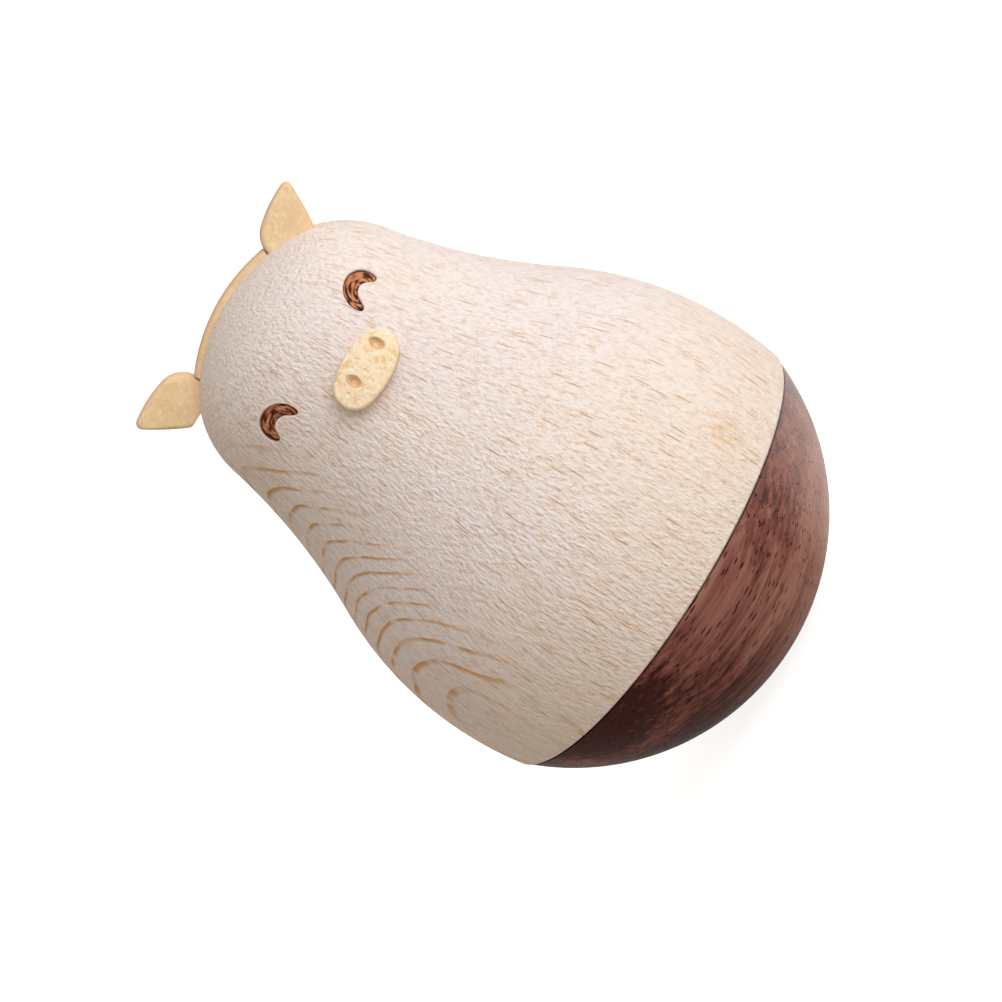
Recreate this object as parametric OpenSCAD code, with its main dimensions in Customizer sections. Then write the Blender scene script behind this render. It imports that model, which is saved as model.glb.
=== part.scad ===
// Wooden roly poly toy: a turned beech body on a weighted walnut rocker,
// with boxwood ears, crown band and snout. Front is -Y, up is +Z, and the
// origin is the middle of the small flat that it rests on. Millimetres.

/* [Body] */
// Height of the crown above the floor
body_h = 75.6; // [73:0.1:80]
// Greatest diameter, at the belly
belly_d = 56; // [54:0.5:60]
// Height of the greatest diameter above the floor
belly_z = 25.4; // [23:0.1:27]
// Radius of the belly's side curve
belly_arc_r = 42.2; // [38:0.2:46]
// Radius of the hollow neck curve
neck_arc_r = 70; // [55:1:90]
// Radius of the curve over the head's shoulder
shoulder_arc_r = 12; // [11:0.1:13]
// Distance of the shoulder curve's centre from the axis
shoulder_off = 4.3; // [3.5:0.1:5]
// Radius of the crown
crown_arc_r = 21; // [20:0.5:26]

/* [Rocker] */
// Height of the seam between rocker and body
seam_z = 19.1; // [17:0.1:21]
// How far the rocker's rim lies inside the body's rim
seam_step = 0.15; // [0.05:0.05:0.4]
// Broken edge on both sides of the seam
seam_break = 0.2; // [0.1:0.05:0.4]
// Diameter of the small flat under the rocker, sanded where it left the lathe
rest_d = 5; // [3:0.5:7]

/* [Ballast and plug] */
// Diameter of the steel slug
ballast_d = 28; // [24:0.5:29]
// Height of the steel slug
ballast_h = 10.4; // [8:0.1:11]
// Wood left under the slug
ballast_floor = 6.8; // [6.5:0.1:7.5]
// Broken edge around the slug
ballast_break = 1; // [0.5:0.1:1.5]
// How far the plug stands up into the body
plug_rise = 8; // [6:0.5:12]

/* [Eyes] */
// Distance between the two eyes' centres
eye_gap = 17; // [15:0.2:19]
// Depth of the eyes' centres below the crown
eye_drop = 10.55; // [9:0.05:12]
// Outer radius of the arched eye
eye_r = 2.2; // [1.8:0.05:2.5]
// Radius of the hollow under the arch
eye_hollow_r = 1.15; // [0.9:0.05:1.3]
// Width of the line at the top of the arch
eye_line = 1.65; // [1.4:0.05:1.9]
// Length of the arch's legs below its centre
eye_leg = 0.9; // [0.6:0.05:1.1]
// Tilt of the legs' inner edges from the vertical, in degrees
eye_leg_tilt = 32; // [24:1:38]
// Turn of both eyes, right leg up, drawn by hand, in degrees
eye_turn = 3; // [0:1:6]
// Depth of the engraving
eye_depth = 0.4; // [0.2:0.05:0.6]

/* [Ears and crown band] */
// Thickness of the boxwood sheet in the crown slot
sheet_t = 2.6; // [2:0.1:3.4]
// Distance of the sheet's middle behind the axis
sheet_y = 0.2; // [-0.5:0.1:1.5]
// Turn of the crown slot about the axis, sawn by hand, in degrees
slot_turn = -6; // [-8:1:8]
// Depth of the slot's floor below the crown
slot_drop = 4.3; // [3.8:0.1:5]
// Distance between the ears' round ends
ear_gap = 22; // [20:0.2:24]
// Sideways shift of the pair of ears, set by hand
ear_shift = -1.4; // [-2:0.1:2]
// Width of an ear
ear_w = 6.2; // [5.6:0.1:7]
// Length of an ear from the middle of its round end to its tip
ear_reach = 5.9; // [5.2:0.1:6.4]
// Radius of the ear's tip
ear_tip_r = 0.65; // [0.5:0.05:1]
// Radius of the ear's upper side
ear_top_r = 15.5; // [10:0.5:20]
// Radius of the ear's outer side, which is nearly straight
ear_outer_r = 36; // [24:1:50]
// Height of the flat cut off the ear's round end, where it stands in the slot
ear_foot = 0.7; // [0.3:0.1:1]
// Radius of the ear's domed faces
ear_dome_r = 60; // [40:5:120]
// Tilt of the right ear from the vertical, in degrees
ear_tilt_right = 56; // [50:1:65]
// Tilt of the left ear from the vertical, in degrees
ear_tilt_left = 62; // [50:1:68]
// How far the band stands out of the crown
band_proud = 0.6; // [0.2:0.1:0.8]

/* [Snout] */
// Length of the snout, across the face
snout_l = 9.5; // [9:0.1:10.5]
// Thickness of the snout
snout_t = 3.6; // [3.2:0.1:4.2]
// Radius of the snout's ends
snout_end_r = 2.3; // [2:0.05:2.5]
// Radius of the snout's long sides, which sets its height
snout_side_r = 9.7; // [8:0.1:14]
// Radius of the snout's domed front
snout_dome_r = 22; // [16:1:30]
// Sideways place of the snout, set by hand
snout_x = 1.3; // [-2:0.1:2]
// Depth of the snout's middle below the crown
snout_drop = 15; // [14:0.1:17]
// Tilt of the snout's face above the horizontal, in degrees
snout_tilt = 16; // [10:1:22]
// Depth of the flat seat cut into the head
snout_seat = 1.9; // [1.7:0.1:2.2]
// Distance between the nostrils
nostril_gap = 4.8; // [4:0.1:5.2]
// Sideways place of the nostrils on the snout, set by hand
nostril_shift = 0.5; // [-0.8:0.1:0.8]
// Height of the nostrils above the snout's middle
nostril_rise = 0.45; // [0:0.05:0.8]
// Height of a nostril, along the gouge's stroke
nostril_l = 2.1; // [1.7:0.1:2.4]
// Width of a nostril
nostril_w = 1.4; // [1.1:0.1:1.6]
// Depth of a nostril
nostril_depth = 0.5; // [0.35:0.05:0.6]
// Diameter of the snout's dowel
dowel_d = 3; // [2:0.1:3.6]
// Length of the dowel in the snout
dowel_in_snout = 1.6; // [1.2:0.1:1.8]
// Length of the dowel in the head
dowel_in_head = 6; // [4:0.5:8]

/* [Fits] */
// Glue gap around pieces that are let in
glue_gap = 0.05; // [0.03:0.01:0.1]
// Room for spare glue at the end of a blind hole
glue_room = 0.3; // [0.2:0.1:0.6]

/* [Hidden] */
$fn = 96;
// Finer facets for the shallow domes
dome_fn = 360;
// One thousandth of a millimetre
micron = 0.001;
// Longer than anything that is cut
far = 100;
// How far an edge starts inside the curve that it leaves
edge_cross = 0.05;
// How far a cutter runs past the face it opens
cut_over = 1;

// Centres of the four curves of the turned outline, as [radius, height]
belly_c = [belly_d / 2 - belly_arc_r, belly_z];
crown_c = [0, body_h - crown_arc_r];
shoulder_c = crown_c + [shoulder_off, sqrt(pow(crown_arc_r - shoulder_arc_r, 2) - pow(shoulder_off, 2))];
neck_c = outer_tangent_centre(belly_c, belly_arc_r, shoulder_c, shoulder_arc_r, neck_arc_r);

// Rim of the body at the seam, and the rocker's sphere through its own rim and its flat's edge
seam_r = belly_c[0] + sqrt(pow(belly_arc_r, 2) - pow(belly_z - seam_z, 2));
rocker_rim_r = seam_r - seam_step;
rocker_z = (pow(rocker_rim_r, 2) + pow(seam_z, 2) - pow(rest_d / 2, 2)) / (2 * seam_z);
rocker_r = norm([rest_d / 2, rocker_z]);

// Ballast pocket and plug
ballast_top = ballast_floor + ballast_h;
pocket_r = ballast_d / 2 + glue_gap;
plug_top = seam_z + plug_rise;

// Hollow under the eye's arch, and half the width of the opening that leads out of it
eye_hollow_y = eye_r - eye_line - eye_hollow_r;
eye_open_w = (eye_hollow_r - edge_cross) * cos(eye_leg_tilt);
eye_open_y = eye_hollow_y + eye_hollow_r * sin(eye_leg_tilt);

// Crown slot, ears and band
slot_z = body_h - slot_drop;
ear_z = slot_z + ear_w / 2 - ear_foot;
ear_right_x = ear_shift + ear_gap / 2;
ear_left_x = ear_shift - ear_gap / 2;
ear_tip_y = ear_reach - ear_tip_r;

// Middle of the snout's seat on the head
snout_z = body_h - snout_drop;
snout_head_r = outline_r(snout_z);
snout_yaw = asin(snout_x / snout_head_r);
snout_top = snout_t - snout_seat;
snout_span = snout_l - 2 * snout_end_r;
// Radius of the gouge, and of the stroke that it cuts along
gouge_r = (pow(nostril_w / 2, 2) + pow(nostril_depth, 2)) / (2 * nostril_depth);
stroke_r = (pow(nostril_l / 2, 2) + pow(nostril_depth, 2)) / (2 * nostril_depth);

function unit(v) = v / norm(v);

// Centre of a curve of radius r that touches two circles from outside, on their right
function outer_tangent_centre(a, ra, b, rb, r) =
    let (d = norm(b - a))
    let (ex = (b - a) / d)
    let (ey = [ex[1], -ex[0]])
    let (along = (d * d + pow(ra + r, 2) - pow(rb + r, 2)) / (2 * d))
    a + along * ex + sqrt(pow(ra + r, 2) - along * along) * ey;

// Points where the outline's curves meet, drawn in by inset
function belly_top(inset) = belly_c + (belly_arc_r - inset) * unit(neck_c - belly_c);
function neck_top(inset) = shoulder_c + (shoulder_arc_r - inset) * unit(neck_c - shoulder_c);
function shoulder_top(inset) = crown_c + (crown_arc_r - inset) * unit(shoulder_c - crown_c);

// Radius of the turned outline at height z, from the neck to the shoulder
function outline_r(z) =
    z < neck_top(0)[1]
        ? neck_c[0] - sqrt(pow(neck_arc_r, 2) - pow(z - neck_c[1], 2))
        : shoulder_c[0] + sqrt(pow(shoulder_arc_r, 2) - pow(z - shoulder_c[1], 2));

// Centre of a drop's right side curve, which holds both of its ends
function side_centre(end_r, tip_r, tip_y, side_r) =
    let (y = (pow(side_r - end_r, 2) - pow(side_r - tip_r, 2) + tip_y * tip_y) / (2 * tip_y))
    [-sqrt(pow(side_r - end_r, 2) - y * y), y];

// Height of the snout's domed front at a place on its face
function snout_front(x, y) = snout_top - snout_dome_r + sqrt(pow(snout_dome_r, 2) - x * x - y * y);

// Moves a shape in two steps, whole microns first, so that touching curves meet closely
module place(v) {
    near = [for (c = v) round(c / micron) * micron];
    translate(near) translate(v - near) children();
}

module disc_at(c, r) {
    place(c) circle(r);
}

// Everything above or below a level, in the plane of an outline
module above(level) {
    place([0, level]) translate([-far, 0]) square([2 * far, far]);
}

module below(level) {
    place([0, level]) translate([-far, -far]) square([2 * far, far]);
}

module between(low, high) {
    intersection() {
        above(low);
        below(high);
    }
}

// Half of the turned outline, drawn in by inset: a blank, less what each curve takes off
module half_outline(inset = 0) {
    z1 = belly_top(inset)[1];
    z2 = neck_top(inset)[1];
    z3 = shoulder_top(inset)[1];
    difference() {
        translate([0, seam_z]) square([far, body_h]);
        difference() {
            below(z1);
            disc_at(belly_c, belly_arc_r - inset);
        }
        intersection() {
            between(z1, z2);
            disc_at(neck_c, neck_arc_r + inset);
        }
        difference() {
            between(z2, z3);
            disc_at(shoulder_c, shoulder_arc_r - inset);
            translate([-far, 0]) square([far + shoulder_off, 2 * far]);
        }
        difference() {
            above(z3);
            disc_at(crown_c, crown_arc_r - inset);
        }
    }
}

// Wedge that breaks the edges of the seam at a rim
module edge_break(rim_r) {
    translate([rim_r - seam_break, seam_z]) rotate(-45) square(4 * seam_break);
}

// Everything on the right of the line from p to q, in the plane of an outline
module beyond(p, q) {
    place(p) rotate(atan2(q[1] - p[1], q[0] - p[0])) translate([-far, -far]) square([2 * far, far]);
}

// Drop outline: a round end at the origin, a small end up the Y axis, and two bulging sides
module drop_outline(end_r, tip_r, tip_y, left_r, right_r) {
    tip = [0, tip_y];
    right_c = side_centre(end_r, tip_r, tip_y, right_r);
    mirrored_c = side_centre(end_r, tip_r, tip_y, left_r);
    left_c = [-mirrored_c[0], mirrored_c[1]];
    difference() {
        intersection() {
            disc_at(left_c, left_r);
            disc_at(right_c, right_r);
        }
        difference() {
            beyond(-end_r * unit(left_c), -end_r * unit(right_c));
            circle(end_r);
        }
        difference() {
            beyond(tip + tip_r * unit(tip - right_c), tip + tip_r * unit(tip - left_c));
            disc_at(tip, tip_r);
        }
    }
}

// Arch of one closed, smiling eye, with legs that splay
module eye_outline() {
    foot_w = eye_open_w + 2 * eye_r * tan(eye_leg_tilt);
    foot_y = eye_open_y - 2 * eye_r;
    difference() {
        circle(eye_r);
        translate([0, eye_hollow_y]) circle(eye_hollow_r);
        polygon([[-eye_open_w, eye_open_y], [eye_open_w, eye_open_y], [foot_w, foot_y], [-foot_w, foot_y]]);
        below(-eye_leg);
    }
}

// Cutter for both eyes, down to the engraved depth
module eye_cut() {
    difference() {
        for (side = [-1, 1])
            translate([side * eye_gap / 2, 0, body_h - eye_drop])
                rotate([90, 0, 0])
                    linear_extrude(far)
                        rotate(eye_turn) eye_outline();
        rotate_extrude() half_outline(eye_depth);
    }
}

// Moves a shape that is built along Z onto the snout's seat
module on_snout_seat() {
    translate([snout_head_r * sin(snout_yaw), -snout_head_r * cos(snout_yaw), snout_z])
        rotate([90 - snout_tilt, 0, snout_yaw]) children();
}

// Oval of the snout, grown by a clearance
module snout_outline(grow = 0) {
    end_r = snout_end_r + grow;
    side_r = snout_side_r + grow;
    translate([-snout_span / 2, 0]) rotate(-90) drop_outline(end_r, end_r, snout_span, side_r, side_r);
}

// Moves a shape from the axis to the middle of the crown slot
module in_crown() {
    rotate(slot_turn) translate([0, sheet_y, 0]) children();
}

// Boxwood sheet shape, standing in the crown slot
module in_slot(thickness) {
    in_crown()
        rotate([90, 0, 0])
            linear_extrude(thickness, center = true) children();
}

// One ear: side is 1 for the right and -1 for the left
module ear(x, tilt, side) {
    left_r = side > 0 ? ear_top_r : ear_outer_r;
    right_r = side > 0 ? ear_outer_r : ear_top_r;
    intersection() {
        in_slot(2 * sheet_t)
            intersection() {
                translate([x, ear_z])
                    rotate(-side * tilt)
                        drop_outline(ear_w / 2, ear_tip_r, ear_tip_y, left_r, right_r);
                above(slot_z);
            }
        for_dome(x, 1);
        for_dome(x, -1);
    }
}

// Ball that domes one face of an ear, deepest at the ear's foot
module for_dome(x, face) {
    in_crown()
        translate([x, face * (ear_dome_r - sheet_t / 2), slot_z])
            sphere(ear_dome_r, $fn = dome_fn);
}

module base() {
    color("saddlebrown")
        rotate_extrude()
            difference() {
                intersection() {
                    square([far, seam_z]);
                    disc_at([0, rocker_z], rocker_r);
                }
                translate([0, ballast_floor]) square([pocket_r, seam_z]);
                edge_break(rocker_rim_r);
            }
}

module body() {
    color("antiquewhite")
        difference() {
            rotate_extrude()
                difference() {
                    half_outline();
                    edge_break(seam_r);
                }
            translate([0, 0, seam_z - cut_over])
                cylinder(r = pocket_r, h = plug_rise + glue_room + cut_over);
            in_slot(sheet_t + 2 * glue_gap) above(slot_z);
            eye_cut();
            on_snout_seat() {
                translate([0, 0, -snout_seat]) linear_extrude(far) snout_outline(glue_gap);
                translate([0, 0, -snout_seat - dowel_in_head - glue_room])
                    cylinder(d = dowel_d + 2 * glue_gap, h = dowel_in_head + glue_room + cut_over);
            }
        }
}

module ballast() {
    color("slategray")
        rotate_extrude()
            difference() {
                translate([0, ballast_floor]) square([ballast_d / 2, ballast_h]);
                for (z = [ballast_floor, ballast_top])
                    translate([ballast_d / 2, z]) rotate(45) square(ballast_break * sqrt(2), center = true);
            }
}

module joint_plug() {
    color("wheat")
        translate([0, 0, ballast_top]) cylinder(d = ballast_d, h = plug_top - ballast_top);
}

module crown_band() {
    color("khaki")
        in_slot(sheet_t)
            intersection() {
                disc_at(crown_c, crown_arc_r + band_proud);
                translate([ear_left_x + ear_w / 2 + glue_gap, slot_z])
                    square([ear_gap - ear_w - 2 * glue_gap, far]);
            }
}

module ear_left() {
    color("burlywood") ear(ear_left_x, ear_tilt_left, -1);
}

module ear_right() {
    color("burlywood") ear(ear_right_x, ear_tilt_right, 1);
}

module snout() {
    color("khaki")
        on_snout_seat()
            difference() {
                intersection() {
                    translate([0, 0, -snout_seat]) linear_extrude(far) snout_outline();
                    translate([0, 0, snout_top - snout_dome_r]) sphere(snout_dome_r, $fn = dome_fn);
                }
                for (side = [-1, 1])
                    nostril(nostril_shift + side * nostril_gap / 2, nostril_rise);
                translate([0, 0, -snout_seat - cut_over])
                    cylinder(d = dowel_d + 2 * glue_gap, h = dowel_in_snout + glue_room + cut_over);
            }
}

// Gouged scoop in the snout's front, taller than wide
module nostril(x, y) {
    translate([x, y, snout_front(x, y) + gouge_r - nostril_depth])
        rotate([90, 0, 0])
            rotate_extrude()
                intersection() {
                    translate([gouge_r - stroke_r, 0]) circle(stroke_r);
                    translate([0, -stroke_r]) square(2 * stroke_r);
                }
}

module snout_dowel() {
    color("tan")
        on_snout_seat()
            translate([0, 0, -snout_seat - dowel_in_head])
                cylinder(d = dowel_d, h = dowel_in_head + dowel_in_snout);
}

base();
body();
ballast();
joint_plug();
crown_band();
ear_left();
ear_right();
snout();
snout_dowel();
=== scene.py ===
"""Looks of the wooden roly poly toy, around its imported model. The face looks along -Y, +Z is up."""

import math
from functools import cached_property

import bpy
import numpy as np
from mathutils import Matrix, Vector, noise


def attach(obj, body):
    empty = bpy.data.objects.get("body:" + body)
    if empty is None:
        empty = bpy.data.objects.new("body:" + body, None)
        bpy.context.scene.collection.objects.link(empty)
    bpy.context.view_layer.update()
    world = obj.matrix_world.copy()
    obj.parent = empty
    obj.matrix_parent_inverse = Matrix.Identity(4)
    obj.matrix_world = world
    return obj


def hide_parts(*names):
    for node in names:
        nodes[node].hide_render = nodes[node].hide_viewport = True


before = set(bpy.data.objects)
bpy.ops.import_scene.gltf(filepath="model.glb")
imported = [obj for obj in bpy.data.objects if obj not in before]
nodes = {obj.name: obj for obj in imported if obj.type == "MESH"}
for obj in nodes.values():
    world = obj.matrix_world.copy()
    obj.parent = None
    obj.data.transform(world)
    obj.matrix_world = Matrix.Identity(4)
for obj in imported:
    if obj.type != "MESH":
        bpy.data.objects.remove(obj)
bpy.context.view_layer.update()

# Lengths are in millimetres, as in the solids, and meshes are scaled to metres when they are made
MM = 0.001

# Turned body and rocker
BODY_H = 75.6
BELLY_D = 56.0
BELLY_Z = 25.4
BELLY_ARC_R = 42.2
NECK_ARC_R = 70.0
SHOULDER_ARC_R = 12.0
SHOULDER_OFF = 4.3
CROWN_ARC_R = 21.0
SEAM_Z = 19.1
SEAM_STEP = 0.15
SEAM_BREAK = 0.2
REST_D = 5.0

# Eyes
EYE_GAP = 17.0
EYE_DROP = 10.55
EYE_Z = BODY_H - EYE_DROP
EYE_R = 2.2
EYE_HOLLOW_R = 1.15
EYE_LINE = 1.65
EYE_LEG = 0.9
EYE_LEG_TILT = math.radians(32)
EYE_CORNER = 0.12
EYE_TURN = math.radians(3)
EYE_DEPTH = 0.4
EYE_UNEVEN = 0.12
EYE_WALL = 0.14

# Ears and crown band
SHEET_T = 2.6
SHEET_Y = 0.2
SLOT_TURN = math.radians(-6)
SLOT_DROP = 4.3
SLOT_Z = BODY_H - SLOT_DROP
EAR_GAP = 22.0
EAR_SHIFT = -1.4
EAR_W = 6.2
EAR_REACH = 5.9
EAR_TIP_R = 0.65
EAR_TOP_R = 15.5
EAR_OUTER_R = 36.0
EAR_FOOT = 0.7
EAR_Z = SLOT_Z + EAR_W / 2 - EAR_FOOT
EAR_DOME_R = 60.0
EAR_TILT = {"right": math.radians(56), "left": math.radians(62)}
EAR_EDGE_R = 0.5
BAND_PROUD = 0.6
BAND_EDGE_R = 0.35

# Snout
SNOUT_L = 9.5
SNOUT_T = 3.6
SNOUT_END_R = 2.3
SNOUT_SIDE_R = 9.7
SNOUT_DOME_R = 22.0
SNOUT_X = 1.3
SNOUT_DROP = 15.0
SNOUT_Z = BODY_H - SNOUT_DROP
SNOUT_TILT = math.radians(16)
SNOUT_SEAT = 1.9
SNOUT_EDGE_R = 0.3
NOSTRIL_GAP = 4.8
NOSTRIL_SHIFT = 0.5
NOSTRIL_RISE = 0.45
NOSTRIL_L = 2.1
NOSTRIL_W = 1.4
NOSTRIL_DEPTH = 0.5
GLUE_GAP = 0.05

# Knife waves and pits of the snout
WAVE_DEPTH = 0.04
WAVES_PER_MM = 0.9
WAVE_LAYER = 4.0
PIT_DEPTH = 0.13
PITS_PER_MM = 1.9
PIT_LAYER = 9.0
PIT_FROM = 0.2

# Streaks of the burned eyes
STREAKS_PER_MM = 3.6
STREAKS_PER_RADIAN = 2.4
STREAK_LAYER = 5.0
STREAK_MEAN = 0.5
STREAK_COARSE = 0.75
STREAK_FINE = 0.3
STREAK_FINER = 2.3

# Fineness of the meshes
SHARP_ANGLE = math.radians(40)
TURNED_STEP = 0.9
TURNED_DEGREES = 2.5
FLAT_RINGS = 12
REST_RINGS = 4
EYE_STEP = 0.06
EYE_COLUMN = math.radians(0.22)
EYE_REACH = math.radians(12.5)
EYE_OVER = 0.3
EYE_MARGIN = 1.0
EAR_STEP = 0.18
EAR_EDGE_RINGS = 8
EAR_INSETS = (0.8, 1.2, 1.7, 2.2, 2.6)
EAR_MIDDLE_Y = 0.9
BAND_RINGS = 90
BAND_EDGE_RINGS = 6
BAND_SIDE = (3.0, 2.0, 1.2, 0.8)
BAND_CREST = 0.4
SNOUT_STEP = 0.11
SNOUT_RINGS = 54
SNOUT_FIRST_RING = 0.015
SNOUT_RIM_SHARE = 0.1
SNOUT_RIM_RINGS = 10
SNOUT_RIM_CROWDING = 1.5
SNOUT_SIDE = (0.5, 0.9, 1.4, 2.0)


# Outline of the turned body

def unit(v):
    return v / np.linalg.norm(v)


def outer_tangent_centre(a, ra, b, rb, r):
    """Centre of a curve of radius r that touches two circles from outside, on their right."""
    d = np.linalg.norm(b - a)
    ex = (b - a) / d
    ey = np.array([ex[1], -ex[0]])
    along = (d * d + (ra + r) ** 2 - (rb + r) ** 2) / (2 * d)
    return a + along * ex + math.sqrt((ra + r) ** 2 - along * along) * ey


def arc(centre, radius, start, end, step):
    """Points from start to end on a circle, about step apart, without the last one."""
    a0 = math.atan2(start[1] - centre[1], start[0] - centre[0])
    a1 = math.atan2(end[1] - centre[1], end[0] - centre[0])
    turn = (a1 - a0 + math.pi) % (2 * math.pi) - math.pi
    count = max(2, math.ceil(abs(turn) * radius / step))
    angles = a0 + turn * np.arange(count) / count
    return np.stack([centre[0] + radius * np.cos(angles), centre[1] + radius * np.sin(angles)], 1)


BELLY_C = np.array([BELLY_D / 2 - BELLY_ARC_R, BELLY_Z])
CROWN_C = np.array([0, BODY_H - CROWN_ARC_R])
SHOULDER_RISE = math.sqrt((CROWN_ARC_R - SHOULDER_ARC_R) ** 2 - SHOULDER_OFF ** 2)
SHOULDER_C = CROWN_C + np.array([SHOULDER_OFF, SHOULDER_RISE])
NECK_C = outer_tangent_centre(BELLY_C, BELLY_ARC_R, SHOULDER_C, SHOULDER_ARC_R, NECK_ARC_R)
BELLY_TOP = BELLY_C + BELLY_ARC_R * unit(NECK_C - BELLY_C)
NECK_TOP = SHOULDER_C + SHOULDER_ARC_R * unit(NECK_C - SHOULDER_C)
SHOULDER_TOP = CROWN_C + CROWN_ARC_R * unit(SHOULDER_C - CROWN_C)
SEAM_R = BELLY_C[0] + math.sqrt(BELLY_ARC_R ** 2 - (BELLY_Z - SEAM_Z) ** 2)


def body_outline(step):
    """Radius and height of the body from the middle of its flat underside to its crown."""
    apex = np.array([0, BODY_H])
    rim = np.array([SEAM_R, SEAM_Z + SEAM_BREAK])
    flat = [[r, SEAM_Z] for r in np.linspace(0, SEAM_R - SEAM_BREAK, FLAT_RINGS)]
    return np.concatenate([
        flat,
        arc(BELLY_C, BELLY_ARC_R, rim, BELLY_TOP, step),
        arc(NECK_C, NECK_ARC_R, BELLY_TOP, NECK_TOP, step),
        arc(SHOULDER_C, SHOULDER_ARC_R, NECK_TOP, SHOULDER_TOP, step),
        arc(CROWN_C, CROWN_ARC_R, SHOULDER_TOP, apex, step),
        [apex],
    ])


def rocker_outline(step):
    """Radius and height of the rocker from the middle of its small flat to its top face."""
    rim_r = SEAM_R - SEAM_STEP
    rest_r = REST_D / 2
    centre = np.array([0, (rim_r ** 2 + SEAM_Z ** 2 - rest_r ** 2) / (2 * SEAM_Z)])
    radius = math.hypot(rest_r, centre[1])
    top_r = rim_r - SEAM_BREAK
    side_r = math.sqrt(radius ** 2 - (centre[1] - SEAM_Z + SEAM_BREAK) ** 2)
    side_end = np.array([side_r, SEAM_Z - SEAM_BREAK])
    flat = [[r, 0] for r in np.linspace(0, rest_r, REST_RINGS)[:-1]]
    side = arc(centre, radius, np.array([rest_r, 0]), side_end, step)
    top = [[r, SEAM_Z] for r in np.linspace(top_r, 0, FLAT_RINGS)]
    return np.concatenate([flat, side, [side_end], top])


def outline_r(z):
    """Radius of the body at height z, from the neck to the shoulder."""
    if z < NECK_TOP[1]:
        return NECK_C[0] - math.sqrt(NECK_ARC_R ** 2 - (z - NECK_C[1]) ** 2)
    return SHOULDER_C[0] + math.sqrt(SHOULDER_ARC_R ** 2 - (z - SHOULDER_C[1]) ** 2)


# Mesh helpers

def smoothstep(low, high, x):
    t = np.clip((x - low) / (high - low), 0, 1)
    return t * t * (3 - 2 * t)


def add_object(name, data):
    made = bpy.data.objects.new(name, data)
    bpy.context.scene.collection.objects.link(made)
    return made


def add_piece(name, points, faces, node):
    """A piece in metres from points in millimetres, which stands for a CAD node."""
    mesh = bpy.data.meshes.new(name)
    mesh.from_pydata((np.asarray(points) * MM).tolist(), [], faces)
    mesh.polygons.foreach_set("use_smooth", [True] * len(mesh.polygons))
    mesh.set_sharp_from_angle(angle=SHARP_ANGLE)
    mesh.update()
    piece = add_object(name, mesh)
    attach(piece, "root")
    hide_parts(node)
    return piece


def set_value(piece, name, values):
    """Stores one number per point, for the materials to read."""
    attribute = piece.data.attributes.new(name, "FLOAT", "POINT")
    attribute.data.foreach_set("value", np.asarray(values, np.float32))


def ring_faces(rings, columns):
    """Quads between closed rings of points that follow each other."""
    faces = []
    for i in range(rings - 1):
        for j in range(columns):
            a = i * columns + j
            b = i * columns + (j + 1) % columns
            faces.append((a, b, b + columns, a + columns))
    return faces


def capped_rings(rings, columns):
    """Quads between rings, and a fan from the first and last ring to one point each, put last."""
    count = rings * columns
    faces = ring_faces(rings, columns)
    last = count - columns
    for j in range(columns):
        k = (j + 1) % columns
        faces.append((count, k, j))
        faces.append((count + 1, last + j, last + k))
    return faces


def lathe(outline, azimuths):
    """Points and normals of a turned shape: a ring for each outline point, then its two poles."""
    ahead = np.gradient(outline, axis=0)
    normals = np.stack([ahead[:, 1], -ahead[:, 0]], 1)
    normals /= np.linalg.norm(normals, axis=1)[:, None]
    side = np.stack([np.sin(azimuths), -np.cos(azimuths)], 1)

    def spin(pairs):
        rings = [np.column_stack([r * side, np.full(len(side), z)]) for r, z in pairs]
        return np.concatenate(rings)

    poles = np.array([[0, 0, outline[0, 1]], [0, 0, outline[-1, 1]]])
    points = np.concatenate([spin(outline[1:-1]), poles])
    outward = np.concatenate([spin(normals[1:-1]), [[0, 0, -1], [0, 0, 1]]])
    return points, outward


def turned_azimuths():
    return np.radians(np.arange(-180, 180, TURNED_DEGREES))


# Body with its engraved eyes

def in_eye(x, z, side):
    """Places on the face in the directions of one eye: across it and up it."""
    u = x - side * EYE_GAP / 2
    v = z - EYE_Z
    across = u * math.cos(EYE_TURN) + v * math.sin(EYE_TURN)
    return across, v * math.cos(EYE_TURN) - u * math.sin(EYE_TURN)


def eye_inside(across, up):
    """How far a place lies inside the arch of an eye, below zero outside."""
    over = up - (EYE_R - EYE_LINE - EYE_HOLLOW_R)
    beside = np.abs(across)
    from_leg = beside * math.cos(EYE_LEG_TILT) + over * math.sin(EYE_LEG_TILT)
    at_leg = np.arctan2(over, beside) < EYE_LEG_TILT
    from_hollow = np.where(at_leg, from_leg, np.hypot(across, over)) - EYE_HOLLOW_R
    limits = np.stack([EYE_R - np.hypot(across, up), from_hollow, up + EYE_LEG])
    return -EYE_CORNER * np.logaddexp.reduce(-limits / EYE_CORNER, axis=0)


def burn_streak(across, up, side):
    """How lightly the stroke of an eye is burned at a place, from about 0 to 1."""
    place = Vector((
        STREAKS_PER_MM * math.hypot(across, up),
        STREAKS_PER_RADIAN * math.atan2(across, up + EYE_LEG),
        STREAK_LAYER * side,
    ))
    coarse = STREAK_COARSE * noise.noise(place)
    return STREAK_MEAN + coarse + STREAK_FINE * noise.noise(place * STREAK_FINER)


def refined(coarse, low, high, step):
    """The coarse values, with those between low and high replaced by even steps."""
    fine = np.arange(low, high, step)
    kept = coarse[(coarse < low - step) | (coarse > high + step)]
    return np.sort(np.concatenate([kept, fine]))


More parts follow.
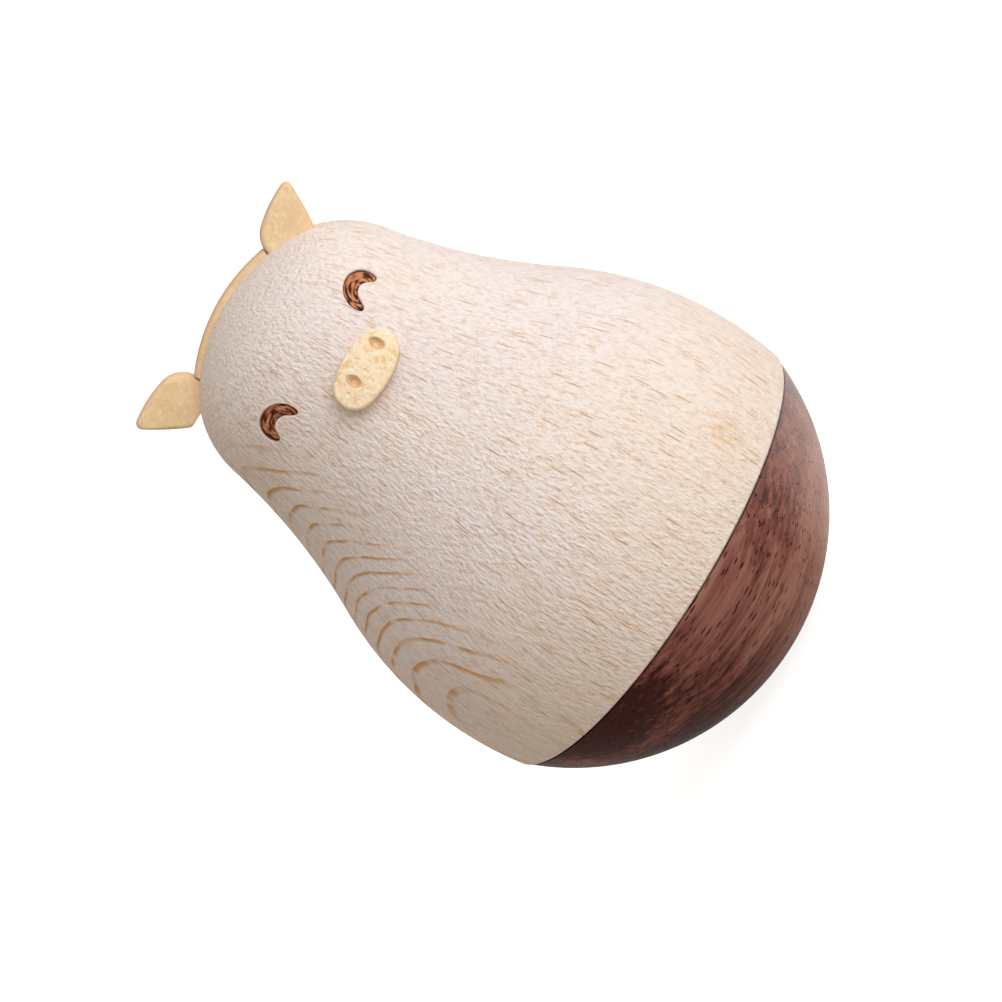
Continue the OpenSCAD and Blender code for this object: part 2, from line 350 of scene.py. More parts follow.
def make_body():
    coarse = body_outline(TURNED_STEP)
    fine = body_outline(EYE_STEP)
    eye_low = EYE_Z - EYE_R
    eye_high = EYE_Z + EYE_R + EYE_OVER
    outline = np.concatenate([
        coarse[coarse[:, 1] < eye_low],
        fine[(fine[:, 1] >= eye_low) & (fine[:, 1] <= eye_high)],
        coarse[coarse[:, 1] > eye_high],
    ])
    eye_at = math.asin(EYE_GAP / 2 / outline_r(EYE_Z))
    azimuths = turned_azimuths()
    for side in (-1, 1):
        middle = side * eye_at
        azimuths = refined(azimuths, middle - EYE_REACH, middle + EYE_REACH, EYE_COLUMN)
    points, outward = lathe(outline, azimuths)
    inside = np.full(len(points), -1.0)
    streak = np.zeros(len(points))
    near_r = EYE_R + EYE_MARGIN
    level = (points[:, 1] < 0) & (np.abs(points[:, 2] - EYE_Z) < near_r)
    for side in (-1, 1):
        near = level & (np.abs(points[:, 0] - side * EYE_GAP / 2) < near_r)
        for k in np.flatnonzero(near):
            across, up = in_eye(points[k, 0], points[k, 2], side)
            inside[k] = eye_inside(across, up)
            streak[k] = burn_streak(across, up, side)
    cut = smoothstep(-EYE_WALL / 2, EYE_WALL / 2, inside)
    points = points - outward * (cut * (EYE_DEPTH - EYE_UNEVEN * streak))[:, None]
    faces = capped_rings(len(outline) - 2, len(azimuths))
    piece = add_piece("body_turned", points, faces, "body")
    set_value(piece, "burn", inside)
    set_value(piece, "streak", streak)
    return piece


def make_rocker():
    outline = rocker_outline(TURNED_STEP)
    azimuths = turned_azimuths()
    points, _ = lathe(outline, azimuths)
    faces = capped_rings(len(outline) - 2, len(azimuths))
    return add_piece("rocker_turned", points, faces, "base")


# Ears, crown band and snout

def drop_outline(end_r, tip_r, tip_y, left_r, right_r, step):
    """Closed outline of a drop: round end at the origin, small end up the Y axis, bulging sides."""
    tip = np.array([0, tip_y])
    apex = tip + np.array([0, tip_r])
    halves = []
    for side, side_r in ((1, right_r), (-1, left_r)):
        side_y = ((side_r - end_r) ** 2 - (side_r - tip_r) ** 2 + tip_y ** 2) / (2 * tip_y)
        centre = np.array([-side * math.sqrt((side_r - end_r) ** 2 - side_y ** 2), side_y])
        foot = end_r * unit(-centre)
        neck = tip + tip_r * unit(tip - centre)
        halves.append(np.concatenate([
            arc(np.zeros(2), end_r, np.array([0, -end_r]), foot, step),
            arc(centre, side_r, foot, neck, step),
            arc(tip, tip_r, neck, apex, step),
        ]))
    return np.concatenate([halves[0], [apex], halves[1][:0:-1]])


def in_crown(x, depth, z):
    """Points in the crown slot's own directions, moved to their place on the toy."""
    y = SHEET_Y + depth
    return np.stack([
        x * math.cos(SLOT_TURN) - y * math.sin(SLOT_TURN),
        x * math.sin(SLOT_TURN) + y * math.cos(SLOT_TURN),
        z,
    ], -1)


def edge_round(inset, radius):
    """Share of the full thickness at a distance in from a rounded edge."""
    t = np.clip(inset / radius, 0, 1)
    return np.sqrt(1 - (1 - t) ** 2)


def make_ear(side_name):
    side = {"right": 1, "left": -1}[side_name]
    tilt = EAR_TILT[side_name]
    tip_y = EAR_REACH - EAR_TIP_R
    outline = drop_outline(EAR_W / 2, EAR_TIP_R, tip_y, EAR_TOP_R, EAR_OUTER_R, EAR_STEP)
    middle = np.array([0, EAR_MIDDLE_Y])
    reach = np.linalg.norm(outline - middle, axis=1)
    rounding = np.linspace(0, math.pi / 2, EAR_EDGE_RINGS)
    insets = np.concatenate([EAR_EDGE_R * (1 - np.cos(rounding)), EAR_INSETS])
    rings = [(-1, inset) for inset in insets[::-1]] + [(1, inset) for inset in insets]
    foot_x = EAR_SHIFT + side * EAR_GAP / 2
    points = []
    edges = []
    for face, inset in rings + [(-1, None), (1, None)]:
        if inset is None:
            ring = middle[None]
            inset = EAR_W / 2
        else:
            ring = middle + (outline - middle) * (1 - inset / reach)[:, None]
        x = foot_x + side * (ring[:, 0] * math.cos(tilt) + ring[:, 1] * math.sin(tilt))
        z = EAR_Z - ring[:, 0] * math.sin(tilt) + ring[:, 1] * math.cos(tilt)
        z = np.maximum(z, SLOT_Z)
        dome = np.sqrt(EAR_DOME_R ** 2 - (x - foot_x) ** 2 - (z - SLOT_Z) ** 2)
        half = SHEET_T / 2 - EAR_DOME_R + dome
        half = half - EAR_EDGE_R * (1 - edge_round(inset, EAR_EDGE_R))
        points.append(in_crown(x, face * half, z))
        edges.append(np.full(len(ring), inset))
    faces = capped_rings(len(rings), len(outline))
    if side < 0:
        faces = [f[::-1] for f in faces]
    node = "ear_" + side_name
    piece = add_piece(node + "_shaped", np.concatenate(points), faces, node)
    set_value(piece, "edge", np.concatenate(edges))
    return piece


def band_end(reach, side):
    """Angle from the vertical at which circles about the crown's centre meet an ear's round end."""
    ear = np.array([EAR_SHIFT + side * EAR_GAP / 2, EAR_Z]) - CROWN_C
    away = np.linalg.norm(ear)
    clear_r = EAR_W / 2 + GLUE_GAP
    opening = np.arccos((reach ** 2 + away ** 2 - clear_r ** 2) / (2 * reach * away))
    return math.atan2(ear[0], ear[1]) - side * opening


def make_band():
    half = SHEET_T / 2
    flat = half - BAND_EDGE_R
    corner = [
        (flat + BAND_EDGE_R * math.cos(t), BAND_EDGE_R * (math.sin(t) - 1))
        for t in np.linspace(0, math.pi / 2, BAND_EDGE_RINGS)
    ]
    right = [(half, -depth) for depth in BAND_SIDE] + corner + [(BAND_CREST, 0)]
    section = np.array(right + [(-a, b) for a, b in right[::-1]])
    reach = CROWN_ARC_R + BAND_PROUD + section[:, 1]
    first = band_end(reach, -1)
    last = band_end(reach, 1)
    rings = []
    for share in np.linspace(0, 1, BAND_RINGS):
        angle = first + share * (last - first)
        z = CROWN_C[1] + reach * np.cos(angle)
        rings.append(in_crown(reach * np.sin(angle), section[:, 0], z))
    ends = [ring.mean(0)[None] for ring in (rings[0], rings[-1])]
    faces = capped_rings(len(rings), len(section))
    points = np.concatenate(rings + ends)
    piece = add_piece("crown_band_shaped", points, faces, "crown_band")
    set_value(piece, "edge", np.concatenate([np.tile(-section[:, 1], len(rings)), [1, 1]]))
    return piece


def noise_over(x, y, per_mm, layer):
    """One layer of Blender's noise at each place of the snout's face."""
    places = [Vector((a * per_mm, b * per_mm, layer)) for a, b in zip(x, y)]
    return np.array([noise.noise(place) for place in places])


def gouge(width):
    """Radius of a round cut of the nostrils' depth that is this wide at the top."""
    return ((width / 2) ** 2 + NOSTRIL_DEPTH ** 2) / (2 * NOSTRIL_DEPTH)


def snout_face(x, y):
    """Height of the carved snout over its seat line, and how deep in a nostril each place lies."""
    front = SNOUT_T - SNOUT_SEAT - SNOUT_DOME_R + np.sqrt(SNOUT_DOME_R ** 2 - x * x - y * y)
    gouge_r = gouge(NOSTRIL_W)
    stroke_r = gouge(NOSTRIL_L)
    scoop = np.zeros_like(x)
    for side in (-1, 1):
        across = x - NOSTRIL_SHIFT - side * NOSTRIL_GAP / 2
        along = y - NOSTRIL_RISE
        round_r = np.sqrt(np.clip(stroke_r ** 2 - along ** 2, 0, None)) - stroke_r + gouge_r
        depth = np.sqrt(np.clip(np.clip(round_r, 0, None) ** 2 - across ** 2, 0, None))
        scoop = np.maximum(scoop, depth - gouge_r + NOSTRIL_DEPTH)
    waves = WAVE_DEPTH * noise_over(x, y, WAVES_PER_MM, WAVE_LAYER)
    pits = np.maximum(noise_over(x, y, PITS_PER_MM, PIT_LAYER) - PIT_FROM, 0)
    return front - scoop + waves - PIT_DEPTH * pits, scoop / NOSTRIL_DEPTH


def snout_place():
    """Turns and moves the snout from its own frame, seat line at zero, to the head."""
    head_r = outline_r(SNOUT_Z)
    yaw = math.asin(SNOUT_X / head_r)
    place = Matrix.Translation((head_r * math.sin(yaw), -head_r * math.cos(yaw), SNOUT_Z))
    tilt = Matrix.Rotation(math.pi / 2 - SNOUT_TILT, 4, "X")
    return np.array(place @ Matrix.Rotation(yaw, 4, "Z") @ tilt)


def make_snout():
    span = SNOUT_L - 2 * SNOUT_END_R
    drop = drop_outline(SNOUT_END_R, SNOUT_END_R, span, SNOUT_SIDE_R, SNOUT_SIDE_R, SNOUT_STEP)
    outline = np.stack([drop[:, 1] - span / 2, -drop[:, 0]], 1)
    reach = np.linalg.norm(outline, axis=1)
    from_rim = 1 - np.linspace(0, 1, SNOUT_RIM_RINGS)[1:]
    shares = np.concatenate([
        np.linspace(SNOUT_FIRST_RING, 1 - SNOUT_RIM_SHARE, SNOUT_RINGS),
        1 - SNOUT_RIM_SHARE * from_rim ** SNOUT_RIM_CROWDING,
    ])
    rings = []
    scoops = []
    for share in shares:
        ring = outline * share
        height, scoop = snout_face(ring[:, 0], ring[:, 1])
        drop_off = SNOUT_EDGE_R * (1 - edge_round(reach * (1 - share), SNOUT_EDGE_R))
        rings.append(np.column_stack([ring, height - drop_off]))
        scoops.append(scoop)
    front_edge = rings[-1][:, 2]
    seat_line = np.full(len(outline), -SNOUT_SEAT)
    for z in [front_edge - depth for depth in SNOUT_SIDE] + [seat_line]:
        rings.append(np.column_stack([outline, z]))
        scoops.append(np.zeros(len(outline)))
    top = snout_face(np.zeros(1), np.zeros(1))[0][0]
    local = np.concatenate(rings + [np.array([[0, 0, top], [0, 0, -SNOUT_SEAT]])])
    seat = snout_place()
    points = local @ seat[:3, :3].T + seat[:3, 3]
    faces = [f[::-1] for f in capped_rings(len(rings), len(outline))]
    piece = add_piece("snout_carved", points, faces, "snout")
    set_value(piece, "scoop", np.concatenate(scoops + [[0, 0]]))
    rim = np.arange(len(local)) >= len(shares) * len(outline)
    rim[-2] = False
    set_value(piece, "rim", rim)
    return piece


body = make_body()
rocker = make_rocker()
ears = [make_ear("left"), make_ear("right")]
band = make_band()
snout = make_snout()


# Materials

class Surface:
    """Adds nodes to one new material, before its Principled shader."""

    def __init__(self, name, roughness=0.5, specular=0.5):
        self.material = bpy.data.materials.new(name)
        self.material.use_nodes = True
        self.tree = self.material.node_tree
        self.shader = self.tree.nodes["Principled BSDF"]
        self.finish("Roughness", roughness)
        self.finish("Specular IOR Level", specular)

    @cached_property
    def place(self):
        """The place in the object's own frame, in metres."""
        return self.node("ShaderNodeTexCoord").outputs["Object"]

    def node(self, kind, **settings):
        made = self.tree.nodes.new(kind)
        for key, value in settings.items():
            setattr(made, key, value)
        return made

    def link(self, value, socket):
        """A number, colour or vector is set on the socket, and an output is linked to it."""
        if isinstance(value, bpy.types.NodeSocket):
            self.tree.links.new(value, socket)
        else:
            socket.default_value = value

    def finish(self, name, value):
        """Sets one of the shader's own inputs."""
        self.link(value, self.shader.inputs[name])

    def math(self, operation, first, *others):
        """Takes the operation through all values, from left to right."""
        for other in others or (0.0,):
            made = self.node("ShaderNodeMath", operation=operation)
            self.link(first, made.inputs[0])
            self.link(other, made.inputs[1])
            first = made.outputs[0]
        return first

    def vector(self, operation, a, b=(0.0, 0.0, 0.0)):
        made = self.node("ShaderNodeVectorMath", operation=operation)
        self.link(a, made.inputs[0])
        self.link(b, made.inputs[1])
        is_number = operation in ("LENGTH", "DISTANCE", "DOT_PRODUCT")
        return made.outputs["Value" if is_number else "Vector"]

    def along(self, direction):
        """Millimetres from the origin along a direction."""
        return self.vector("DOT_PRODUCT", self.place, tuple(n / MM for n in direction))

    def stretched(self, per_mm):
        """The place in the wood, counted in features per millimetre along X, Y and Z."""
        return self.vector("MULTIPLY", self.place, tuple(n / MM for n in per_mm))

    def unrolled(self, radius, around, up):
        """The place on a turned surface, in features per millimetre round the axis and along it."""
        parts = self.node("ShaderNodeSeparateXYZ")
        self.link(self.place, parts.inputs[0])
        front = self.math("MULTIPLY", parts.outputs["Y"], -1.0)
        angle = self.math("ARCTAN2", parts.outputs["X"], front)
        flat = self.node("ShaderNodeCombineXYZ")
        self.link(self.math("MULTIPLY", angle, radius * around), flat.inputs["X"])
        self.link(self.math("MULTIPLY", parts.outputs["Z"], up / MM), flat.inputs["Y"])
        return flat.outputs[0]

    def noise(self, per_mm, detail=2.0, rough=0.5, warp=0.0, output="Fac"):
        made = self.node("ShaderNodeTexNoise")
        self.link(self.stretched(per_mm), made.inputs["Vector"])
        made.inputs["Scale"].default_value = 1.0
        made.inputs["Detail"].default_value = detail
        made.inputs["Roughness"].default_value = rough
        made.inputs["Distortion"].default_value = warp
        return made.outputs[output]

    def dashes(self, place, size, share, sides="3D"):
        """Short marks, one in each cell of the grid whose random number is under share."""
        full_size = 0.55
        full_share = 0.4
        cells = self.node("ShaderNodeTexVoronoi", voronoi_dimensions=sides)
        self.link(place, cells.inputs["Vector"])
        cells.inputs["Scale"].default_value = 1.0
        near = self.span(cells.outputs["Distance"], (size, size * full_size))
        part = self.node("ShaderNodeSeparateColor")
        self.link(cells.outputs["Color"], part.inputs[0])
        strength = self.span(part.outputs[0], (share, share * full_share))
        return self.math("MULTIPLY", near, strength)

    def span(self, value, bounds, to=(0.0, 1.0)):
        """A smooth step between two numbers, as value goes from the first bound to the second."""
        made = self.node("ShaderNodeMapRange", interpolation_type="SMOOTHSTEP")
        keys = ("From Min", "From Max", "To Min", "To Max")
        for key, number in zip(keys, (*bounds, *to)):
            made.inputs[key].default_value = number
        self.link(value, made.inputs["Value"])
        return made.outputs["Result"]

    def mix(self, share, a, b):
        made = self.node("ShaderNodeMix", data_type="RGBA")
        self.link(share, made.inputs[0])
        for value, socket in ((a, made.inputs[6]), (b, made.inputs[7])):
            self.link((*value, 1.0) if isinstance(value, tuple) else value, socket)
        return made.outputs[2]

    def value(self, name):
        """One of the numbers that a piece keeps at its points."""
        return self.node("ShaderNodeAttribute", attribute_name=name).outputs["Fac"]

    def colour(self, value):
        self.finish("Base Color", value)

    def bump(self, height, depth, strength):
        """Relief of a depth in millimetres."""
        made = self.node("ShaderNodeBump")
        made.inputs["Strength"].default_value = strength
        made.inputs["Distance"].default_value = depth * MM
        self.link(height, made.inputs["Height"])
        self.finish("Normal", made.outputs["Normal"])


ACROSS = (1.0, 0.0, 0.0)
UP = (0.0, 0.0, 1.0)


def growth_rings(wood, pith, spacing, wander):
    """A number that climbs from 0 to 1 across each growth ring round an upright pith."""
    drift = wood.noise((0.06, 0.06, 0.03), output="Color")
    moved = wood.vector("MULTIPLY", drift, (wander, wander, 0.0))
    place = wood.vector("ADD", wood.stretched((1.0, 1.0, 0.0)), moved)
    away = wood.vector("LENGTH", wood.vector("SUBTRACT", place, tuple(pith)))
    return wood.math("FRACT", wood.math("DIVIDE", away, spacing))


def ring_lines(wood, height):
    """Edges of the growth rings, which show where the surface looks away from the pith."""
    pith = Vector((54.8, 24.4, 0.0))
    low_fade_z = (24.0, 36.0)
    high_fade_z = (68.0, 61.0)
    ring = growth_rings(wood, pith, spacing=0.95, wander=2.6)
    around = wood.vector("NORMALIZE", wood.vector("MULTIPLY", wood.place, (1.0, 1.0, 0.0)))
    facing = wood.vector("DOT_PRODUCT", around, tuple(-pith.normalized()))
    shown = wood.math(
        "MULTIPLY",
        wood.span(facing, (0.85, 0.96), (0.06, 1.0)),
        wood.span(height, low_fade_z, (0.5, 1.0)),
        wood.span(height, high_fade_z, (0.2, 1.0)),
    )
    broken = wood.span(wood.noise((0.35, 0.35, 0.20)), (0.38, 0.58), (0.15, 1.0))
    edge = wood.span(ring, (0.27, 0.07))
    return wood.math("MULTIPLY", edge, wood.math("MULTIPLY", shown, broken))


def flecks(wood, height):
    """Long, short and thin flecks of the beech, which end below the crown."""
    body_r = 23.0
    end_z = (74.5, 70.0)
    kinds = []
    for around, up, size, share, strength in (
        (3.1, 0.18, 0.24, 0.14, 0.9),
        (3.6, 0.40, 0.26, 0.18, 0.5),
        (4.4, 0.12, 0.22, 0.22, 0.45),
    ):
        marks = wood.dashes(wood.unrolled(body_r, around, up), size, share, "2D")
        kinds.append(wood.math("MULTIPLY", marks, strength))
    return wood.math("MULTIPLY", wood.math("MAXIMUM", *kinds), wood.span(height, end_z))


def amber_stain(wood):
    """Share of a stain on the side of the belly."""
    middle = (15.2, -23.4, 25.0)
    radius = 4.5
    full_r = radius * 0.3
    patch = wood.noise((0.5, 0.5, 0.35), detail=3.0, rough=0.6, warp=1.0)
    away = wood.vector("DISTANCE", wood.stretched((1.0, 1.0, 1.0)), middle)
    near = wood.span(away, (radius, full_r))
    return wood.math("MULTIPLY", near, wood.span(patch, (0.46, 0.60), (0.0, 0.75)))


def burned_eye(wood, inside):
    """Colour of the burned strokes, darkest along their edges."""
    char = (0.06, 0.012, 0.005)
    scorch = (0.50, 0.18, 0.07)
    singed = (0.60, 0.28, 0.15)
    streak = wood.value("streak")
    burned = wood.mix(wood.span(streak, (0.30, 0.62)), char, scorch)
    burned = wood.mix(wood.span(streak, (0.62, 0.85)), burned, singed)
    return wood.mix(wood.span(inside, (0.04, 0.15), (0.9, 0.0)), burned, char)


def beech():
    wood = Surface("beech", roughness=0.68, specular=0.2)
    cream = (0.825, 0.725, 0.645)
    rose = (0.81, 0.72, 0.68)
    yellow = (0.825, 0.69, 0.555)
    painted_fuzz_shade = (0.59, 0.435, 0.335)
    painted_fuzz_light = (0.93, 0.86, 0.81)
    late = (0.70, 0.40, 0.17)
    ring_edge = (0.62, 0.33, 0.12)
    fleck = (0.60, 0.31, 0.14)
    amber = (0.78, 0.56, 0.33)
    yellow_z = (46.0, 20.0)
    turning_z = (58.0, 73.0)
    turning_depth = 0.5
    fleck_depth = 0.1
    height = wood.along(UP)
    cloud = wood.noise((0.05, 0.05, 0.03))
    fuzz = wood.noise((2.5, 2.5, 1.0), detail=3.0, rough=0.62)
    grain = wood.noise((2.0, 2.0, 0.11))
    marks = flecks(wood, height)
    ground = wood.mix(wood.span(cloud, (0.35, 0.65)), rose, cream)
    # Yellower towards the bottom: partly the beech's own tone, partly painted warm light from the
    # floor.
    ground = wood.mix(wood.span(height, yellow_z, (0.0, 0.5)), ground, yellow)
    ground = wood.mix(amber_stain(wood), ground, amber)
    # Painted shade in the hollows of the fuzz and painted light on its tops, over the relief that the
    # bump draws.
    ground = wood.mix(wood.span(fuzz, (0.49, 0.30), (0.0, 0.45)), ground, painted_fuzz_shade)
    ground = wood.mix(wood.span(fuzz, (0.52, 0.70), (0.0, 0.4)), ground, painted_fuzz_light)
    ground = wood.mix(wood.span(grain, (0.53, 0.75), (0.0, 0.4)), ground, late)
    ground = wood.mix(ring_lines(wood, height), ground, ring_edge)
    ground = wood.mix(marks, ground, fleck)
    inside = wood.value("burn")
    eye = burned_eye(wood, inside)
    wood.colour(wood.mix(wood.span(inside, (-0.04, 0.04)), ground, eye))
    turning = wood.math("MULTIPLY", wood.noise((0.02, 0.02, 2.4)), wood.span(height, turning_z))
    raised = wood.math("ADD", fuzz, wood.math("MULTIPLY", turning, turning_depth))
    relief = wood.math("SUBTRACT", raised, wood.math("MULTIPLY", marks, fleck_depth))
    wood.bump(relief, depth=0.42, strength=1.0)
    return wood.material


def walnut_tone(wood, fibre, across, height):
    """How light the walnut is: broad streaks and fibres, painted light on the right and painted shade
    on the left, painted floor light low on the right, and lighter by the seam.
    """
    painted_side_light_x = (-22.0, 4.0)
    low_z = (14.0, 6.0)
    low_x = (-6.0, 6.0)
    seam_z = (11.0, 16.0)
    seam_left_x = (-17.0, -8.0)
    seam_right_x = (18.0, -4.0)
    streak_strength = 0.85
    fibre_mean = 0.49
    fibre_strength = 0.75
    streaks = wood.noise((0.012, 0.11, 0.13), detail=3.0, rough=0.5, warp=0.5)
    streaks = wood.math("MULTIPLY", streaks, streak_strength)
    fibres = wood.math("MULTIPLY", wood.math("SUBTRACT", fibre, fibre_mean), fibre_strength)
    # Painted light from the floor: lighter towards the bottom on the right half, and a little darker
    # near the top there.
    painted_floor_bounce = wood.math(
        "MULTIPLY",
        wood.span(height, low_z, (-0.03, 0.16)),
        wood.span(across, low_x),
    )
    by_seam = wood.math(
        "MULTIPLY",
        wood.span(across, seam_left_x),
        wood.span(across, seam_right_x),
        wood.span(height, seam_z, (0.0, 0.17)),
    )
    # Painted light and shade: lighter on the right (+X), where the light falls, and darker on the
    # left.
    side = wood.span(across, painted_side_light_x, (-0.13, 0.10))
    return wood.math("ADD", streaks, side, fibres, painted_floor_bounce, by_seam)


def walnut():
    wood = Surface("walnut")
    dark = (0.055, 0.0175, 0.0145)
    brown = (0.22, 0.082, 0.064)
    tan = (0.41, 0.205, 0.15)
    pore = (0.012, 0.004, 0.0035)
    seam_line_z = (SEAM_Z - 0.35, SEAM_Z - 0.1)
    reflecting_x = (9.0, 26.0)
    pore_strength = 0.9
    fibre_height = 0.6
    height = wood.along(UP)
    across = wood.along(ACROSS)
    fibre = wood.noise((0.06, 1.3, 1.3), detail=3.0, rough=0.6)
    tone = walnut_tone(wood, fibre, across, height)
    pores = wood.dashes(wood.stretched((0.45, 2.5, 2.5)), size=0.33, share=0.9)
    ground = wood.mix(wood.span(tone, (0.28, 0.54)), dark, brown)
    ground = wood.mix(wood.span(tone, (0.46, 0.80), (0.0, 0.9)), ground, tan)
    ground = wood.mix(wood.math("MULTIPLY", pores, pore_strength), ground, pore)
    ground = wood.mix(wood.span(height, seam_line_z, (0.0, 0.8)), ground, pore)
    wood.colour(ground)
    # The specular level rises towards +X, so only the right side shows reflections of its bright
    # surroundings: reflection painted by place, not a finish of the wood.
    wood.finish("Specular IOR Level", wood.span(across, reflecting_x, (0.012, 0.9)))
    wood.finish("Roughness", wood.span(fibre, (0.25, 0.75), (0.38, 0.52)))
    relief = wood.math("SUBTRACT", wood.math("MULTIPLY", fibre, fibre_height), pores)
    wood.bump(relief, depth=0.10, strength=0.9)
    return wood.material


def boxwood():
    wood = Surface("boxwood", roughness=0.58, specular=0.3)
    straw = (0.81, 0.60, 0.345)
    honey = (0.72, 0.485, 0.25)
    pale = (0.92, 0.745, 0.50)
    rosy = (0.70, 0.42, 0.25)
    edge_mm = (0.05, 0.45)
    cloud = wood.noise((0.45, 0.45, 0.45), detail=3.0)
    speck = wood.noise((1.8, 1.8, 1.8), detail=3.0, rough=0.65)
    ground = wood.mix(wood.span(cloud, (0.40, 0.66), (0.0, 0.6)), straw, honey)
    ground = wood.mix(wood.span(speck, (0.5, 0.70), (0.0, 0.6)), ground, pale)
    ground = wood.mix(wood.span(speck, (0.47, 0.32), (0.0, 0.5)), ground, honey)
    ground = wood.mix(wood.span(wood.value("edge"), edge_mm, (0.6, 0.0)), ground, rosy)
    wood.colour(ground)
    wood.bump(speck, depth=0.10, strength=0.8)
    return wood.material


def carved_boxwood():
    wood = Surface("carved_boxwood", roughness=0.62, specular=0.28)
    pale = (0.835, 0.675, 0.45)
    amber = (0.76, 0.49, 0.225)
    light = (0.95, 0.84, 0.63)
    painted_nostril_shade = (0.55, 0.25, 0.08)
    tan = (0.62, 0.42, 0.255)
    rim_shade_strength = 0.7
    grain_height = 0.6
    patch = wood.noise((1.1, 1.1, 1.1), detail=3.0, rough=0.6, warp=0.5)
    grain = wood.noise((2.6, 2.6, 2.6), detail=3.0, rough=0.65)
    # Painted shade in the nostrils: their scoops are darker and more orange, mottled by the grain.
    in_nostril = wood.span(wood.value("scoop"), (0.05, 0.6))
    nostril_shade_share = wood.math("MULTIPLY", in_nostril, wood.span(grain, (0.36, 0.60), (0.3, 0.75)))
    ground = wood.mix(wood.span(patch, (0.51, 0.66), (0.0, 0.85)), pale, amber)
    ground = wood.mix(wood.span(grain, (0.48, 0.68), (0.0, 0.6)), ground, light)
    ground = wood.mix(nostril_shade_share, ground, painted_nostril_shade)
    # Painted shade on the snout's side wall: the rim is tan and darker than the face.
    rim = wood.math("MULTIPLY", wood.value("rim"), rim_shade_strength)
    ground = wood.mix(rim, ground, tan)
    wood.colour(ground)
    relief = wood.math("SUBTRACT", wood.math("MULTIPLY", grain, grain_height), patch)
    wood.bump(relief, depth=0.07, strength=0.8)
    return wood.material


def plug_wood():
    wood = Surface("plug_wood", roughness=0.65, specular=0.3)
    light = (0.72, 0.55, 0.36)
    dark = (0.55, 0.38, 0.22)
    fibre = wood.noise((1.5, 1.5, 0.2), detail=3.0)
    wood.colour(wood.mix(wood.span(fibre, (0.3, 0.7)), light, dark))
    wood.bump(fibre, depth=0.04, strength=0.5)
    return wood.material


def turned_steel():
    metal = Surface("turned_steel")
    dark = (0.42, 0.43, 0.45)
    light = (0.58, 0.59, 0.61)
    grooves = metal.noise((0.2, 0.2, 9.0))
    metal.finish("Metallic", 1.0)
    metal.colour(metal.mix(grooves, dark, light))
    metal.finish("Roughness", metal.span(grooves, (0.3, 0.7), (0.25, 0.42)))
    return metal.material


def dress(objects, material):
    for piece in objects:
        piece.data.materials.clear()
        piece.data.materials.append(material)


dress([body], beech())
dress([rocker], walnut())
dress(ears + [band], boxwood())
dress([snout], carved_boxwood())
dress([nodes["joint_plug"], nodes["snout_dowel"]], plug_wood())
dress([nodes["ballast"]], turned_steel())


# Floor, lights and camera, with distances in metres

IMAGE_SIDE = 1002
FOCAL_PIXELS = 3500.0
TOY_PIXEL = (519.6, 479.2)
LOOK_AT = Vector((0, 0, 36.42)) * MM
VIEW_DISTANCE = 398.3 * MM
VIEW_RISE = math.radians(12.03)
VIEW_ROLL = math.radians(58.25)
VIEW_CLIP = (0.01, 100)
SENSOR = 36.0
FLOOR_SIDE = 40.0
FLOOR_GLOW = 0.86
FLOOR_COLOUR = (0.66, 0.605, 0.525, 1)
WHITE = (1, 1, 1, 1)
WORLD_FILL = (0.465, 0.427, 0.402, 1)
LAMP_DISTANCE = 0.75


def make_floor():
    """A pale floor that glows white for rays from the camera, by reflection or through glass."""
    half = FLOOR_SIDE / 2
    corners = [(-half, -half, 0), (half, -half, 0), (half, half, 0), (-half, half, 0)]
    mesh = bpy.data.meshes.new("floor")
    mesh.from_pydata(corners, [], [(0, 1, 2, 3)])
    floor = add_object("floor", mesh)
    paint = Surface("pale_floor", roughness=0.9, specular=0.0)
    rays = paint.node("ShaderNodeLightPath").outputs
    kinds = ("Is Camera Ray", "Is Glossy Ray", "Is Transmission Ray")
    seen = paint.math("MAXIMUM", *(rays[kind] for kind in kinds))
    paint.colour(FLOOR_COLOUR)
    paint.finish("Emission Color", WHITE)
    paint.finish("Emission Strength", paint.math("MULTIPLY", seen, FLOOR_GLOW))
    mesh.materials.append(paint.material)


def make_world():
    world = bpy.data.worlds.new("studio")
    bpy.context.scene.world = world
    world.use_nodes = True
    world.node_tree.nodes["Background"].inputs["Color"].default_value = WORLD_FILL


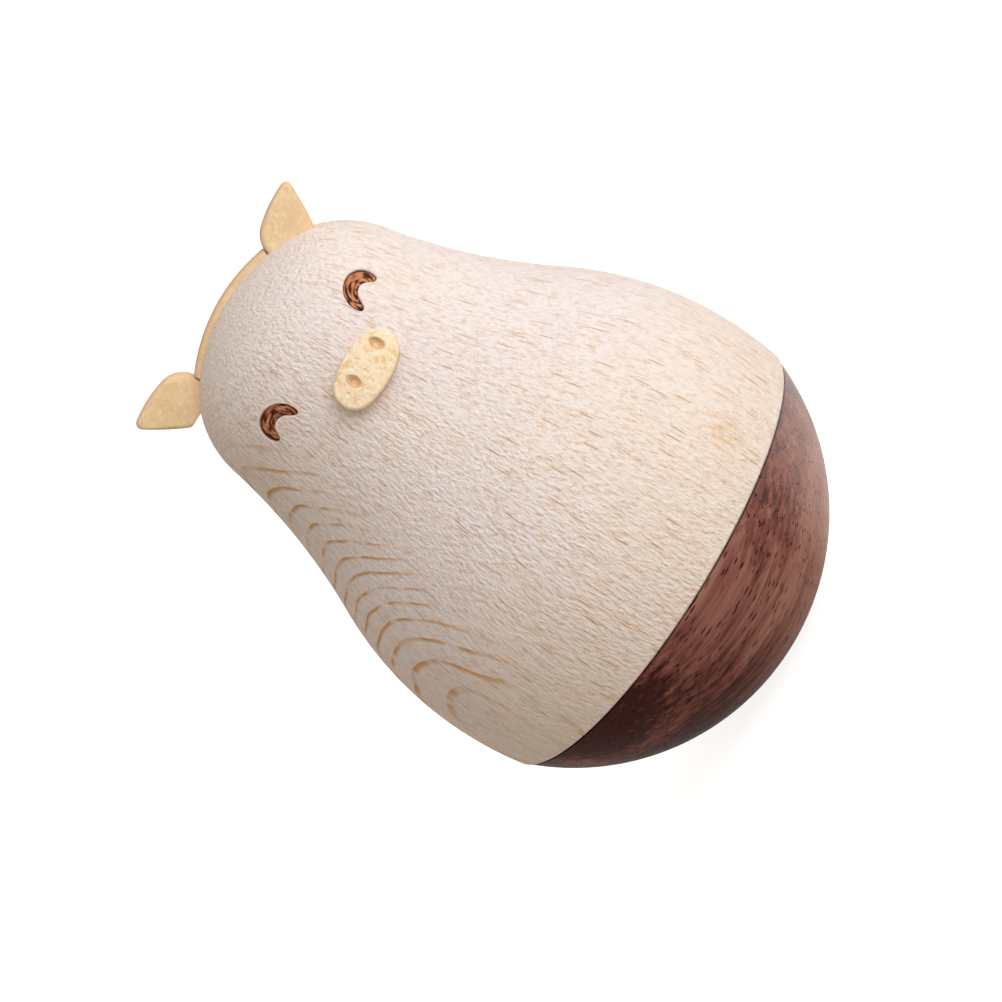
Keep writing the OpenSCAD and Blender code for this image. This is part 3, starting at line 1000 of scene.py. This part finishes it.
def add_lamp(name, azimuth, rise, size, power, colour):
    """A soft square lamp that faces the toy. Azimuth 0 is in front of the face, 90 towards +X."""
    lamp = bpy.data.lights.new(name, "AREA")
    lamp.size = size
    lamp.energy = power
    lamp.color = colour
    holder = add_object(name, lamp)
    a = math.radians(azimuth)
    e = math.radians(rise)
    away = Vector((math.sin(a) * math.cos(e), -math.cos(a) * math.cos(e), math.sin(e)))
    holder.location = LOOK_AT + away * LAMP_DISTANCE
    holder.rotation_mode = "QUATERNION"
    holder.rotation_quaternion = (-away).to_track_quat("-Z", "Y")


def make_camera():
    """The photo's camera, rolled, since the photo shows the toy tipped over."""
    right = Vector((1, 0, 0))
    up = Vector((0, math.sin(VIEW_RISE), math.cos(VIEW_RISE)))
    back = right.cross(up)
    across = math.cos(VIEW_ROLL) * right - math.sin(VIEW_ROLL) * up
    upward = math.sin(VIEW_ROLL) * right + math.cos(VIEW_ROLL) * up
    per_pixel = VIEW_DISTANCE / FOCAL_PIXELS
    middle = IMAGE_SIDE / 2
    aim = LOOK_AT - (TOY_PIXEL[0] - middle) * per_pixel * across
    aim = aim - (middle - TOY_PIXEL[1]) * per_pixel * upward
    place = LOOK_AT + VIEW_DISTANCE * back
    toward = (place - aim).normalized()
    across = (across - across.dot(toward) * toward).normalized()
    upward = toward.cross(across)
    data = bpy.data.cameras.new("camera")
    data.sensor_width = SENSOR
    data.lens = FOCAL_PIXELS * SENSOR / IMAGE_SIDE
    data.clip_start, data.clip_end = VIEW_CLIP
    camera = add_object("camera", data)
    turn = Matrix((across, upward, toward)).transposed().to_4x4()
    camera.matrix_world = Matrix.Translation(place) @ turn
    bpy.context.scene.camera = camera


make_floor()
make_world()
add_lamp("key", azimuth=46, rise=16, size=0.7, power=5.45, colour=(0.92, 0.945, 1.0))
add_lamp("top", azimuth=15, rise=68, size=0.5, power=0.95, colour=(0.96, 0.97, 1.0))
add_lamp("rim", azimuth=118, rise=7, size=0.4, power=1.2, colour=(0.80, 0.90, 1.0))
make_camera()
bpy.context.scene.view_settings.view_transform = "Standard"
